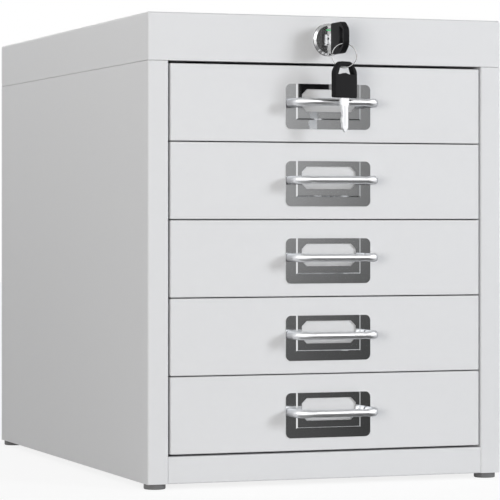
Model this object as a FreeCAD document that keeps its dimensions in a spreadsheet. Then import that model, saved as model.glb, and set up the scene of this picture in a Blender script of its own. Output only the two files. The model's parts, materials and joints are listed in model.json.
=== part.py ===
# Small metal drawer cabinet: folded sheet body, five drawers, gang lock with keys.
# Frame: +Z up, the front faces -Y, origin on the floor plane under the middle of the whole part,
# key included. Millimetres.
import FreeCAD, Part
import math
import os
import re
import Sketcher

doc = FreeCAD.newDocument("drawer_cabinet")
sheet = doc.addObject("Spreadsheet::Sheet", "Sizes")

SIZES = [
    # Body
    ("width", 280), ("depth", 420), ("height", 346), ("sheet_metal", 1.0), ("overrun", 5),
    ("bend_radius", 1.5), ("seam_gap", 0.3),
    # Feet
    ("foot_height", 4), ("foot_radius", 8), ("foot_inset", 8.5), ("foot_end_inset", 10),
    ("foot_edge_round", 0.8), ("foot_screw_radius", 1.6), ("foot_screw_head_radius", 3.4),
    ("foot_screw_head_height", 1.2), ("foot_recess_depth", 2),
    # Cover
    ("cover_height", 35), ("cover_lip", 12),
    # Side panels
    ("stile_width", 16), ("stile_return", 14), ("rear_flange", 14), ("bottom_flange", 22),
    ("tab_overlap", 12), ("tab_rise", 28), ("tab_end_gap", 3),
    # Back, base and bottom rail
    ("back_top_gap", 5), ("rail_height", 19.7), ("rail_setback", 0.6), ("rail_top_return", 12),
    ("rail_bottom_return", 20), ("base_side_gap", 1), ("base_front_gap", 4), ("base_upturn", 8),
    # Drawers
    ("drawer_count", 5), ("drawer_top_gap", 2), ("drawer_gap", 0.8), ("drawer_bottom_gap", 1.5),
    ("drawer_side_gap", 1.5), ("front_setback", 0.3), ("front_pan_depth", 12),
    ("front_lip", 6), ("front_edge_round", 0.8), ("tray_side_gap", 5), ("tray_sheet", 0.8),
    ("tray_lift", 3), ("tray_rim_drop", 10.74), ("rear_space", 24.7),
    ("tray_flange", 4.3), ("tray_stop_height", 1.6), ("tray_stop_length", 6),
    # Runners
    ("runner_clearance", 0.3), ("runner_headroom", 2.2), ("runner_side_clearance", 0.8),
    ("runner_front_gap", 2), ("runner_rear_gap", 18), ("upright_width", 20),
    ("upright_inset", 40), ("upright_end_gap", 12), ("drawer_travel", 315), ("stop_clearance", 0.3),
    ("stop_thickness", 2), ("stop_gap", 0.4),
    # Label plates
    ("plate_margin", 2.6), ("plate_height", 33.3), ("plate_sheet", 0.8), ("plate_corner", 4),
    ("plate_drop", 2), ("pocket_end_gap", 5.4), ("pocket_floor", 6.9), ("pocket_rise", 1.0),
    ("pocket_slope", 0.95), ("window_end_gap", 4.1), ("window_height", 16.7),
    ("window_corner", 3.9), ("window_raise", 4.4), ("card_thickness", 0.3), ("card_gap", 0.8),
    # Handles
    ("handle_span", 61.8), ("handle_wire_radius", 2.8), ("handle_reach", 23), ("handle_bend", 10),
    ("handle_raise", 2.5), ("handle_stud_radius", 1.5), ("handle_stud_length", 5.4),
    ("nut_radius", 3.2), ("nut_height", 2.4),
    # Lock
    ("lock_drop", 17.5), ("lock_flange_radius", 12.2), ("lock_flange_height", 0.8),
    ("lock_face_radius", 11.8), ("lock_face_height", 1.6), ("lock_face_bevel", 1.5),
    ("lock_barrel_radius", 9.5), ("lock_barrel_length", 22), ("lock_hole_clearance", 0.2),
    ("plug_radius", 8.2), ("plug_clearance", 0.2), ("plug_length", 27), ("plug_setback", 0.2),
    ("keyway_width", 2.3), ("keyway_height", 7), ("keyway_depth", 19), ("lock_nut_radius", 14),
    ("lock_nut_height", 4), ("mark_width", 4.4), ("mark_height", 1.1), ("mark_raise", 7.1),
    ("mark_thickness", 0.1), ("rod_radius", 3), ("crank_radius", 9), ("crank_angle", 45),
    ("crank_hub_radius", 6), ("crank_eye_radius", 3.6), ("crank_thickness", 2.4),
    ("crank_pin_radius", 1.5), ("crank_pin_overrun", 0.6), ("crank_slot_gap", 0.35),
    ("crank_bar_gap", 0.6),
    # Lock bar
    ("bar_left", 0), ("bar_width", 17), ("bar_thickness", 2), ("bar_rear_gap", 6.5),
    ("bar_bottom", 16), ("bar_top_wall", 4), ("finger_width", 7), ("finger_thickness", 2),
    ("finger_reach", 9), ("finger_tip", 1.5), ("finger_tab", 6), ("finger_top_gap", 1.5),
    ("finger_under_gap", 0.6),
    ("catch_height", 30), ("catch_tab", 10), ("catch_hook", 14), ("catch_thickness", 1.2),
    ("catch_bar_gap", 3.5),
    ("guide_wall", 3), ("guide_gap", 0.3), ("guide_lip", 2.3), ("guide_height", 8),
    ("guide_low", 46), ("guide_high", 231), ("bracket_width", 26), ("bracket_thickness", 1.5),
    ("bracket_height", 30), ("bracket_flange", 10), ("bracket_gap", 7), ("rod_clearance", 0.3),
    # Keys
    ("key_head_width", 23), ("key_head_length", 26.5), ("key_head_thickness", 4.4),
    ("key_head_round", 0.7), ("key_corner_round", 1.4), ("key_dome_start", 19.5),
    ("key_dome_half_width", 6.2), ("key_dome_round", 6), ("key_side_round", 7),
    ("key_bow_rim", 3.3), ("key_hole_length", 6), ("key_hole_bow_half", 5.6),
    ("key_hole_wide_half", 8), ("key_hole_arch", 1), ("key_shoulder_width", 8),
    ("key_shoulder_length", 5.5), ("key_blade_width", 6.2), ("key_blade_length", 25),
    ("key_blade_thickness", 1.8), ("key_standoff", 10.6), ("key_tip", 3.2),
    ("ring_radius", 8.82), ("ring_wire_radius", 0.48), ("ring_top_drop", 4.7),
    ("ring_from_shoulder", 21.6), ("ring_yaw", -20), ("spare_yaw", 24), ("spare_hang_gap", 0.8),
]
for row, (name, value) in enumerate(SIZES, start=1):
    sheet.set("A%d" % row, name)
    sheet.set("B%d" % row, str(value))
    sheet.setAlias("B%d" % row, name)
doc.recompute()
NAMES = {name for name, value in SIZES}
COUNT = int(sheet.get("drawer_count"))


def bound(text):
    """An expression over the sheet's names."""
    return re.sub(r"[a-z][a-z_]*", lambda m: "Sizes." + m[0] if m[0] in NAMES else m[0], text)


# Places that several pieces share
HALF_W = "width / 2"
ORIGIN_BACK = "((key_standoff + key_head_length) / 2)"
FRONT = f"({ORIGIN_BACK} - depth / 2)"
REAR = f"({ORIGIN_BACK} + depth / 2)"
BODY_TOP = "(height - cover_height)"
OPENING_LOW = "(foot_height + rail_height)"
OPENING_HALF = "(width / 2 - stile_width)"
FRONT_WIDTH = "(width - 2 * stile_width - 2 * drawer_side_gap)"
FRONT_HEIGHT = (
    f"(({BODY_TOP} - {OPENING_LOW} - drawer_top_gap - drawer_bottom_gap"
    " - (drawer_count - 1) * drawer_gap) / drawer_count)"
)
PITCH = f"({FRONT_HEIGHT} + drawer_gap)"
LOWEST = f"({OPENING_LOW} + drawer_bottom_gap)"
FACE_Y = f"({FRONT} + front_setback)"
TRAY_LENGTH = "(depth - front_setback - front_pan_depth - rear_space)"
TRAY_WIDTH = "(width - 2 * stile_width - 2 * tray_side_gap)"
TRAY_TOP = f"({FRONT_HEIGHT} - tray_rim_drop)"
TRAY_HEIGHT = f"({TRAY_TOP} - tray_lift)"
TRAY_REAR = f"(front_pan_depth + {TRAY_LENGTH})"
BACK_FACE = f"({REAR} - 2 * sheet_metal)"
LOCK_Z = "(height - lock_drop)"
LOCK_FACE_Y = f"({FRONT} - lock_flange_height - lock_face_height)"
PLUG_FACE_Y = f"({LOCK_FACE_Y} + plug_setback)"
BAR_FRONT = f"({BACK_FACE} - bar_rear_gap - bar_thickness)"
CRANK_REAR = f"({BAR_FRONT} - crank_bar_gap)"
CRANK_FRONT = f"({CRANK_REAR} - crank_thickness)"
PIN_X = "(crank_radius * cos(crank_angle))"
PIN_DROP = "(crank_radius * sin(crank_angle))"
BAR_TRAVEL = f"(2 * {PIN_DROP})"
PLATE_Z = f"({FRONT_HEIGHT} / 2 - plate_drop)"
HANDLE_Z = f"({PLATE_Z} + handle_raise)"
PLATE_WIDTH = "(handle_span + 2 * plate_margin)"
POCKET_WIDTH = "(handle_span - 2 * pocket_end_gap)"
WINDOW_WIDTH = f"({POCKET_WIDTH} - 2 * window_end_gap)"
SHOULDER_Y = f"({FRONT} - key_standoff)"
RING_Y = f"({SHOULDER_Y} - ring_from_shoulder)"
RING_Z = f"({LOCK_Z} - ring_top_drop - ring_radius)"


def new_body(label):
    body = doc.addObject("PartDesign::Body", label)
    body.Label = label
    if hasattr(body, "AllowCompound"):
        body.AllowCompound = True
    return body


def place(obj, x="0", y="0", z="0"):
    for key, text in (("x", x), ("y", y), ("z", z)):
        if text != "0":
            obj.setExpression("Placement.Base." + key, bound(text))


def sketch_on(body, label, axis, at, loops):
    """A sketch square to an axis of the body. A loop is a list of points or (circle, x, y, radius)."""
    role = {"X": "YZ_Plane", "Y": "XZ_Plane", "Z": "XY_Plane"}[axis]
    plane = next(f for f in body.Origin.OriginFeatures if f.Role == role)
    sketch = body.newObject("Sketcher::SketchObject", label + "_sketch")
    sketch.AttachmentSupport = [(plane, "")]
    sketch.MapMode = "FlatFace"
    side = "-" if axis == "Y" else ""
    if at != "0":
        sketch.setExpression("AttachmentOffset.Base.z", bound(f"{side}({at})"))
    for loop in loops:
        first = sketch.GeometryCount
        if loop[0] == "circle":
            sketch.addGeometry(Part.Circle(FreeCAD.Vector(1, 1, 0), FreeCAD.Vector(0, 0, 1), 1), False)
            spots = [(first, 3, loop[1], loop[2])]
            radius = sketch.addConstraint(Sketcher.Constraint("Radius", first, 1.0))
            sketch.setExpression("Constraints[%d]" % radius, bound(loop[3]))
        else:
            count = len(loop)
            ring = [
                FreeCAD.Vector(math.cos(math.tau * k / count), math.sin(math.tau * k / count), 0)
                for k in range(count)
            ]
            for k in range(count):
                sketch.addGeometry(Part.LineSegment(ring[k], ring[(k + 1) % count]), False)
            for k in range(count):
                meet = Sketcher.Constraint("Coincident", first + k, 2, first + (k + 1) % count, 1)
                sketch.addConstraint(meet)
            spots = [(first + k, 1, loop[k][0], loop[k][1]) for k in range(count)]
        for line, end, x, y in spots:
            across = sketch.addConstraint(Sketcher.Constraint("DistanceX", -1, 1, line, end, 1.0))
            sketch.setExpression("Constraints[%d]" % across, bound(x))
            up = sketch.addConstraint(Sketcher.Constraint("DistanceY", -1, 1, line, end, 1.0))
            sketch.setExpression("Constraints[%d]" % up, bound(y))
    sketch.Visibility = False
    return sketch


def prism(body, label, axis, start, length, *loops):
    """A pad from start along an axis."""
    pad = body.newObject("PartDesign::Pad", label)
    pad.Profile = sketch_on(body, label, axis, start, loops)
    pad.setExpression("Length", bound(length))
    pad.Reversed = axis == "Y"
    body.Tip = pad
    return pad


def cut(body, label, axis, start, length, *loops):
    """A pocket from start along an axis. It has to take something away."""
    doc.recompute()
    before = body.Shape.Volume
    pocket = body.newObject("PartDesign::Pocket", label)
    pocket.Profile = sketch_on(body, label, axis, start, loops)
    pocket.setExpression("Length", bound(length))
    pocket.Reversed = axis != "Y"
    body.Tip = pocket
    doc.recompute()
    if not body.Shape.Volume < before:
        raise RuntimeError(label + " cuts nothing")
    return pocket


def rect(x0, x1, y0, y1):
    return [(x0, y0), (x1, y0), (x1, y1), (x0, y1)]


def round_edges(body, label, radius, wanted, kind="Fillet"):
    """Fillet or chamfer the edges of the tip that wanted() picks by direction and middle point."""
    doc.recompute()
    base = body.Tip
    names = []
    for number, edge in enumerate(base.Shape.Edges, start=1):
        middle = edge.valueAt((edge.FirstParameter + edge.LastParameter) / 2)
        way = edge.tangentAt((edge.FirstParameter + edge.LastParameter) / 2)
        if wanted(edge, middle, way):
            names.append("Edge%d" % number)
    if not names:
        raise RuntimeError(label + " finds no edge")
    dress = body.newObject("PartDesign::" + kind, label)
    dress.Base = (base, names)
    dress.setExpression("Radius" if kind == "Fillet" else "Size", bound(radius))
    body.Tip = dress
    return dress


def value(text):
    """A place worked out by the sheet, for picking edges."""
    probe = doc.getObject("Probe") or doc.addObject("Part::Box", "Probe")
    probe.setExpression("Placement.Base.x", bound(text))
    probe.recompute()
    return probe.Placement.Base.x


def near(a, b):
    return abs(a - b) < 0.01


def pattern_up(body, label, features, copies, span):
    body.Tip = features[-1]
    rows = body.newObject("PartDesign::LinearPattern", label)
    rows.Originals = features
    axis = next(f for f in body.Origin.OriginFeatures if f.Role == "Z_Axis")
    rows.Direction = (axis, [""])
    rows.setExpression("Length", bound(span))
    rows.setExpression("Occurrences", bound(copies))
    body.Tip = rows
    return rows


pieces = []

# Top cover: a shallow lid with flanges, a lip behind the fascia and the hole for the lock
cover = new_body("top_cover")
prism(cover, "cover_block", "Z", BODY_TOP, "cover_height", rect(f"-{HALF_W}", HALF_W, FRONT, REAR))
front_y, rear_y, top_z = value(FRONT), value(REAR), value("height")
round_edges(cover, "cover_rounds", "bend_radius", lambda e, m, w: abs(w.z) > 0.9 or near(m.z, top_z))
inside = rect(
    f"-({HALF_W} - sheet_metal)", f"{HALF_W} - sheet_metal",
    f"{FRONT} + sheet_metal", f"{REAR} - sheet_metal",
)
cut(cover, "cover_inside", "Z", f"{BODY_TOP} - overrun", "cover_height - sheet_metal + overrun", inside)
prism(
    cover, "cover_front_lip", "Z", BODY_TOP, "sheet_metal",
    rect(f"-({OPENING_HALF} - seam_gap)", f"{OPENING_HALF} - seam_gap", f"{FRONT} + sheet_metal / 2",
         f"{FRONT} + cover_lip"),
)
cut(
    cover, "cover_lock_hole", "Y", f"{FRONT} - overrun", "sheet_metal + 2 * overrun",
    ("circle", "0", LOCK_Z, "lock_barrel_radius + lock_hole_clearance"),
)
pieces.append(cover)

# Side panels: web, front stile folded round, rear and bottom flanges, stepped tab under the cover
for word, sign in (("left", "-"), ("right", "")):
    side = new_body("side_panel_" + word)

    def sx(text):
        return f"{sign}({text})"

    plan = [
        (sx(HALF_W), FRONT), (sx(OPENING_HALF), FRONT),
        (sx(OPENING_HALF), f"{FRONT} + stile_return"),
        (sx(f"{OPENING_HALF} + sheet_metal"), f"{FRONT} + stile_return"),
        (sx(f"{OPENING_HALF} + sheet_metal"), f"{FRONT} + sheet_metal"),
        (sx(f"{HALF_W} - sheet_metal"), f"{FRONT} + sheet_metal"),
        (sx(f"{HALF_W} - sheet_metal"), f"{REAR} - sheet_metal"),
        (sx(f"{HALF_W} - rear_flange"), f"{REAR} - sheet_metal"),
        (sx(f"{HALF_W} - rear_flange"), REAR),
        (sx(HALF_W), REAR),
    ]
    wall = f"{BODY_TOP} - foot_height - seam_gap"
    prism(side, "side_fold_" + word, "Z", "foot_height", wall, plan)
    round_edges(
        side, "side_bends_" + word, "bend_radius",
        lambda e, m, w: abs(w.z) > 0.9 and (near(m.y, front_y) or near(m.y, rear_y))
        and (near(abs(m.x), value(HALF_W)) or near(abs(m.x), value(OPENING_HALF))),
    )
    notch_y = f"{FRONT} + rail_setback + rail_bottom_return + seam_gap"
    prism(
        side, "side_bottom_" + word, "Z", "foot_height", "sheet_metal",
        [
            (sx(f"{HALF_W} - sheet_metal / 2"), f"{FRONT} + sheet_metal / 2"),
            (sx(f"{OPENING_HALF} + sheet_metal / 2"), f"{FRONT} + sheet_metal / 2"),
            (sx(f"{OPENING_HALF} + sheet_metal / 2"), notch_y),
            (sx(f"{HALF_W} - bottom_flange"), notch_y),
            (sx(f"{HALF_W} - bottom_flange"), f"{REAR} - sheet_metal / 2"),
            (sx(f"{HALF_W} - sheet_metal / 2"), f"{REAR} - sheet_metal / 2"),
        ],
    )
    prism(
        side, "side_tab_" + word, "Y", f"{FRONT} + stile_return + tab_end_gap",
        "depth - stile_return - 2 * tab_end_gap",
        rect(sx(f"{HALF_W} - sheet_metal"), sx(f"{HALF_W} - 2 * sheet_metal"),
             f"{BODY_TOP} - tab_overlap", f"{BODY_TOP} + tab_rise"),
    )
    pieces.append(side)

# Back panel
back = new_body("back_panel")
prism(
    back, "back_sheet", "Y", BACK_FACE, "sheet_metal",
    rect(f"-({HALF_W} - 2 * sheet_metal - seam_gap)", f"{HALF_W} - 2 * sheet_metal - seam_gap",
         "foot_height + sheet_metal", "height - back_top_gap"),
)
pieces.append(back)

# Base panel, a floor with upturned sides that lies on the bottom flanges and the rail
base = new_body("base_panel")
base_half = f"({OPENING_HALF} - base_side_gap)"
base_low = "(foot_height + sheet_metal)"
prism(
    base, "base_floor", "Y", f"{FRONT} + base_front_gap", f"{BACK_FACE} - {FRONT} - base_front_gap",
    [
        (f"-{base_half}", base_low), (base_half, base_low), (base_half, f"{base_low} + base_upturn"),
        (f"{base_half} - sheet_metal", f"{base_low} + base_upturn"),
        (f"{base_half} - sheet_metal", f"{base_low} + sheet_metal"),
        (f"-({base_half} - sheet_metal)", f"{base_low} + sheet_metal"),
        (f"-({base_half} - sheet_metal)", f"{base_low} + base_upturn"),
        (f"-{base_half}", f"{base_low} + base_upturn"),
    ],
)
pieces.append(base)

# Bottom rail, a channel between the stiles
rail = new_body("bottom_rail")
rail_y = f"{FRONT} + rail_setback"
prism(
    rail, "rail_channel", "X", f"-{OPENING_HALF}", f"2 * {OPENING_HALF}",
    [
        (rail_y, "foot_height"), (f"{rail_y} + rail_bottom_return", "foot_height"),
        (f"{rail_y} + rail_bottom_return", "foot_height + sheet_metal"),
        (f"{rail_y} + sheet_metal", "foot_height + sheet_metal"),
        (f"{rail_y} + sheet_metal", f"{OPENING_LOW} - sheet_metal"),
        (f"{rail_y} + rail_top_return", f"{OPENING_LOW} - sheet_metal"),
        (f"{rail_y} + rail_top_return", OPENING_LOW), (rail_y, OPENING_LOW),
    ],
)
rail_front = value(rail_y)
round_edges(
    rail, "rail_bends", "sheet_metal", lambda e, m, w: abs(w.x) > 0.9 and near(m.y, rail_front)
)
pieces.append(rail)

# Runner racks: five channels each, on two uprights, with a stop tab in every channel
lip_top = f"({LOWEST} + {TRAY_TOP} - sheet_metal - runner_clearance)"
roof_low = f"({LOWEST} + {TRAY_TOP} + runner_headroom)"
runner_in = f"({TRAY_WIDTH} / 2 + runner_side_clearance)"
runner_out = f"({HALF_W} - 2 * sheet_metal)"
runner_start = f"({FRONT} + stile_return + runner_front_gap)"
for word, sign in (("left", "-"), ("right", "")):
    rack = new_body("runner_rack_" + word)

    def sx(text):
        return f"{sign}({text})"

    def upright(label, start):
        prism(
            rack, label + word, "Z", "foot_height + upright_end_gap",
            f"{BODY_TOP} - foot_height - 2 * upright_end_gap",
            rect(sx(f"{HALF_W} - sheet_metal"), sx(runner_out), start, f"{start} + upright_width"),
        )

    upright("front_upright_", f"({FRONT} + upright_inset)")
    upright("rear_upright_", f"({REAR} - upright_inset - upright_width - runner_rear_gap)")
    runner = prism(
        rack, "runner_" + word, "Y", runner_start, f"{REAR} - runner_rear_gap - {runner_start}",
        [
            (sx(runner_out), f"{lip_top} - sheet_metal"), (sx(runner_in), f"{lip_top} - sheet_metal"),
            (sx(runner_in), lip_top), (sx(f"{runner_out} - sheet_metal"), lip_top),
            (sx(f"{runner_out} - sheet_metal"), roof_low), (sx(runner_in), roof_low),
            (sx(runner_in), f"{roof_low} + sheet_metal"), (sx(runner_out), f"{roof_low} + sheet_metal"),
        ],
    )
    stop_rear = f"({FACE_Y} + {TRAY_REAR} - tray_stop_length - drawer_travel - stop_clearance)"
    stop = prism(
        rack, "stop_" + word, "Y", f"{stop_rear} - stop_thickness", "stop_thickness",
        rect(sx(runner_in), sx(f"{runner_in} + tray_flange"),
             f"{LOWEST} + {TRAY_TOP} + stop_gap", f"{roof_low} + sheet_metal / 2"),
    )
    doc.recompute()
    pattern_up(
        rack, "runners_" + word, [runner, stop], "drawer_count", f"(drawer_count - 1) * {PITCH}"
    )
    pieces.append(rack)

# Rubber feet with a recess for the screw
feet = new_body("feet")
spots = [
    (f"{sx}({HALF_W} - foot_inset)", y)
    for sx in ("-", "") for y in (f"{FRONT} + foot_end_inset", f"{REAR} - foot_end_inset")
]
prism(feet, "foot_pads", "Z", "0", "foot_height", *[("circle", x, y, "foot_radius") for x, y in spots])
round_edges(feet, "foot_rounds", "foot_edge_round", lambda e, m, w: near(m.z, 0))
cut(
    feet, "foot_recesses", "Z", "-overrun", "foot_recess_depth + overrun",
    *[("circle", x, y, "foot_screw_head_radius + foot_screw_head_height / 4") for x, y in spots],
)
cut(
    feet, "foot_bores", "Z", "0", "foot_height + overrun",
    *[("circle", x, y, "foot_screw_radius") for x, y in spots],
)
pieces.append(feet)
screws = new_body("foot_screws")
head_z = "(foot_recess_depth - foot_screw_head_height)"
prism(
    screws, "screw_heads", "Z", head_z, "foot_screw_head_height",
    *[("circle", x, y, "foot_screw_head_radius") for x, y in spots],
)
prism(
    screws, "screw_shanks", "Z", head_z, "foot_height - foot_recess_depth + foot_screw_head_height",
    *[("circle", x, y, "foot_screw_radius") for x, y in spots],
)
pieces.append(screws)

# Lock housing: flange, raised face and barrel through the fascia
housing = new_body("lock_housing")
prism(
    housing, "lock_flange", "Y", f"{FRONT} - lock_flange_height", "lock_flange_height",
    ("circle", "0", LOCK_Z, "lock_flange_radius"),
)
prism(
    housing, "lock_face", "Y", LOCK_FACE_Y, "lock_face_height + lock_flange_height",
    ("circle", "0", LOCK_Z, "lock_face_radius"),
)
prism(
    housing, "lock_barrel", "Y", FRONT, "lock_barrel_length",
    ("circle", "0", LOCK_Z, "lock_barrel_radius"),
)
lock_face = value(LOCK_FACE_Y)
round_edges(
    housing, "lock_face_rim", "lock_face_bevel", lambda e, m, w: near(m.y, lock_face), "Chamfer"
)
cut(
    housing, "lock_bore", "Y", f"{LOCK_FACE_Y} - overrun",
    "lock_face_height + lock_flange_height + lock_barrel_length + 2 * overrun",
    ("circle", "0", LOCK_Z, "plug_radius + plug_clearance"),
)
pieces.append(housing)


def hexagon(x, z, radius):
    """Corners of a hexagon given by its corner radius."""
    return [(f"{x} + {radius} * cos({a})", f"{z} + {radius} * sin({a})") for a in range(0, 360, 60)]


nut = new_body("lock_nut")
prism(
    nut, "lock_nut_body", "Y", f"{FRONT} + sheet_metal", "lock_nut_height",
    hexagon("0", LOCK_Z, "lock_nut_radius"), ("circle", "0", LOCK_Z, "lock_barrel_radius"),
)
pieces.append(nut)

# Turning plug with its keyway, mark, drive rod and crank
plug = new_body("lock_plug")
prism(plug, "plug_barrel", "Y", PLUG_FACE_Y, "plug_length", ("circle", "0", LOCK_Z, "plug_radius"))
cut(
    plug, "keyway", "Y", f"{PLUG_FACE_Y} - overrun", "keyway_depth + overrun",
    rect("-keyway_width / 2", "keyway_width / 2",
         f"{LOCK_Z} - keyway_height / 2", f"{LOCK_Z} + keyway_height / 2"),
)
pieces.append(plug)
mark = new_body("lock_mark")
prism(
    mark, "mark_paint", "Y", f"{PLUG_FACE_Y} - mark_thickness", "mark_thickness",
    rect("-mark_width / 2", "mark_width / 2", f"{LOCK_Z} + mark_raise - mark_height / 2",
         f"{LOCK_Z} + mark_raise + mark_height / 2"),
)
pieces.append(mark)
rod = new_body("lock_rod")
prism(
    rod, "rod_bar", "Y", f"{PLUG_FACE_Y} + plug_length",
    f"{CRANK_FRONT} - {PLUG_FACE_Y} - plug_length", ("circle", "0", LOCK_Z, "rod_radius"),
)
pieces.append(rod)
crank = new_body("lock_crank")
pin_z = f"({LOCK_Z} - {PIN_DROP})"
prism(crank, "crank_hub", "Y", CRANK_FRONT, "crank_thickness", ("circle", "0", LOCK_Z, "crank_hub_radius"))
prism(crank, "crank_eye", "Y", CRANK_FRONT, "crank_thickness", ("circle", PIN_X, pin_z, "crank_eye_radius"))
hub_off = "crank_hub_radius * sin(crank_angle)"
eye_off = "crank_eye_radius * sin(crank_angle)"
prism(
    crank, "crank_arm", "Y", CRANK_FRONT, "crank_thickness",
    [
        (hub_off, f"{LOCK_Z} + {hub_off}"), (f"-{hub_off}", f"{LOCK_Z} - {hub_off}"),
        (f"{PIN_X} - {eye_off}", f"{pin_z} - {eye_off}"), (f"{PIN_X} + {eye_off}", f"{pin_z} + {eye_off}"),
    ],
)
prism(
    crank, "crank_pin", "Y", CRANK_FRONT,
    "crank_thickness + crank_bar_gap + bar_thickness + crank_pin_overrun",
    ("circle", PIN_X, pin_z, "crank_pin_radius"),
)
pieces.append(crank)

# Bracket that carries the rear end of the rod, hung from the cover
bracket = new_body("rod_bracket")
bracket_rear = f"({CRANK_FRONT} - bracket_gap)"
bracket_top = "(height - sheet_metal)"
prism(
    bracket, "bracket_fold", "X", "-bracket_width / 2", "bracket_width",
    [
        (bracket_rear, bracket_top), (bracket_rear, f"{bracket_top} - bracket_height"),
        (f"{bracket_rear} - bracket_thickness", f"{bracket_top} - bracket_height"),
        (f"{bracket_rear} - bracket_thickness", f"{bracket_top} - bracket_thickness"),
        (f"{bracket_rear} - bracket_flange", f"{bracket_top} - bracket_thickness"),
        (f"{bracket_rear} - bracket_flange", bracket_top),
    ],
)
cut(
    bracket, "bracket_hole", "Y", f"{bracket_rear} - bracket_thickness - overrun",
    "bracket_thickness + 2 * overrun", ("circle", "0", LOCK_Z, "rod_radius + rod_clearance"),
)
pieces.append(bracket)

# Gang-lock bar with a slot for the crank pin
bar = new_body("lock_bar")
slot_half = "(crank_pin_radius + crank_slot_gap)"
prism(
    bar, "bar_strip", "Y", BAR_FRONT, "bar_thickness",
    rect("bar_left", "bar_left + bar_width", "bar_bottom", f"{pin_z} + {slot_half} + bar_top_wall"),
    rect(f"{PIN_X} - {slot_half}", f"crank_radius + {slot_half}", f"{pin_z} - {slot_half}",
         f"{pin_z} + {slot_half}"),
)
pieces.append(bar)

# Fingers welded to the bar, one for every drawer, that rise behind the hooks of the trays
fingers = new_body("lock_fingers")
hook_low = f"({LOWEST} + catch_height - catch_hook)"
arm_top = f"({hook_low} - {BAR_TRAVEL} - finger_under_gap)"
arm_low = f"({arm_top} - finger_thickness)"
tip_y = f"({BAR_FRONT} - finger_reach)"
finger = prism(
    fingers, "finger", "X", "bar_left + (bar_width - finger_width) / 2", "finger_width",
    [
        (BAR_FRONT, arm_top), (f"{tip_y} + finger_tip", arm_top),
        (f"{tip_y} + finger_tip", f"{hook_low} - finger_top_gap"), (tip_y, f"{hook_low} - finger_top_gap"),
        (tip_y, arm_low), (f"{BAR_FRONT} - finger_tip", arm_low),
        (f"{BAR_FRONT} - finger_tip", f"{arm_low} - finger_tab"), (BAR_FRONT, f"{arm_low} - finger_tab"),
    ],
)
doc.recompute()
pattern_up(fingers, "finger_row", [finger], "drawer_count", f"(drawer_count - 1) * {PITCH}")
pieces.append(fingers)

# Guides that hold the lock bar to the back panel
guides = new_body("lock_bar_guides")
left, right = "(bar_left - guide_gap)", "(bar_left + bar_width + guide_gap)"
lip_y = f"({BAR_FRONT} - guide_gap)"
guide_plan = [
    (left, BACK_FACE), (left, lip_y), (f"{left} + guide_lip", lip_y),
    (f"{left} + guide_lip", f"{lip_y} - sheet_metal"), (f"{left} - guide_wall", f"{lip_y} - sheet_metal"),
    (f"{left} - guide_wall", BACK_FACE),
]
guide_plan_right = [
    (right, BACK_FACE), (right, lip_y), (f"{right} - guide_lip", lip_y),
    (f"{right} - guide_lip", f"{lip_y} - sheet_metal"), (f"{right} + guide_wall", f"{lip_y} - sheet_metal"),
    (f"{right} + guide_wall", BACK_FACE),
]
prism(guides, "guides_low", "Z", "guide_low", "guide_height", guide_plan, guide_plan_right)
prism(guides, "guides_high", "Z", "guide_high", "guide_height", guide_plan, guide_plan_right)
pieces.append(guides)

# Keys: a moulded head with a bow hole and a cut blade. The key frame has the shoulder at zero, bow up.
hole_top = "(key_head_length - key_bow_rim)"
hole_low = f"({hole_top} - key_hole_length)"
arch_share = 0.5
# Bitting as shares of the blade's length and width, from the shoulder down
bitting_shares = [
    (0.38, 0.45), (0.47, 0.36), (0.53, 0.34), (0.60, 0.5), (0.70, 0.48), (0.76, 0.38), (0.88, 0.36),
]


def key_pieces(prefix):
    head = new_body(prefix + "_head")
    prism(
        head, prefix + "_head_slab", "Y", "-key_head_thickness / 2", "key_head_thickness",
        [
            ("-key_head_width / 2", "0"), ("key_head_width / 2", "0"),
            ("key_head_width / 2", "key_dome_start"), ("key_dome_half_width", "key_head_length"),
            ("-key_dome_half_width", "key_head_length"), ("-key_head_width / 2", "key_dome_start"),
        ],
    )
    low, shoulder, top = 0.0, value("key_dome_start"), value("key_head_length")
    for word, radius, level in (
        ("_corners", "key_corner_round", low), ("_sides", "key_side_round", shoulder),
        ("_dome", "key_dome_round", top),
    ):
        round_edges(head, prefix + word, radius, lambda e, m, w: abs(w.y) > 0.9 and near(m.z, level))
    arch = f"key_hole_wide_half * {arch_share}"
    cut(
        head, prefix + "_bow_hole", "Y", "-key_head_thickness / 2 - overrun",
        "key_head_thickness + 2 * overrun",
        [
            ("-key_hole_wide_half", hole_low), (f"-{arch}", hole_low), ("0", f"{hole_low} + key_hole_arch"),
            (arch, hole_low), ("key_hole_wide_half", hole_low), ("key_hole_bow_half", hole_top),
            ("-key_hole_bow_half", hole_top),
        ],
    )
    half = value("key_head_thickness / 2")
    round_edges(
        head, prefix + "_soft_edges", "key_head_round",
        lambda e, m, w: near(abs(m.y), half) and abs(w.y) < 0.1,
    )
    blade = new_body(prefix + "_blade")
    right_x = "key_blade_width / 2"
    outline = [
        ("-key_shoulder_width / 2", "0"), ("key_shoulder_width / 2", "0"),
        ("key_shoulder_width / 2", "-key_shoulder_length"), (right_x, "-key_shoulder_length"),
        (right_x, "-(key_blade_length - key_tip)"), ("0", "-key_blade_length"),
    ]
    outline += [(f"-key_blade_width * {b}", f"-key_blade_length * {a}") for a, b in reversed(bitting_shares)]
    outline += [
        ("-key_blade_width / 2", "-key_shoulder_length"),
        ("-key_shoulder_width / 2", "-key_shoulder_length"),
    ]
    prism(blade, prefix + "_blade_sheet", "Y", "-key_blade_thickness / 2", "key_blade_thickness", outline)
    return head, blade


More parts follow.
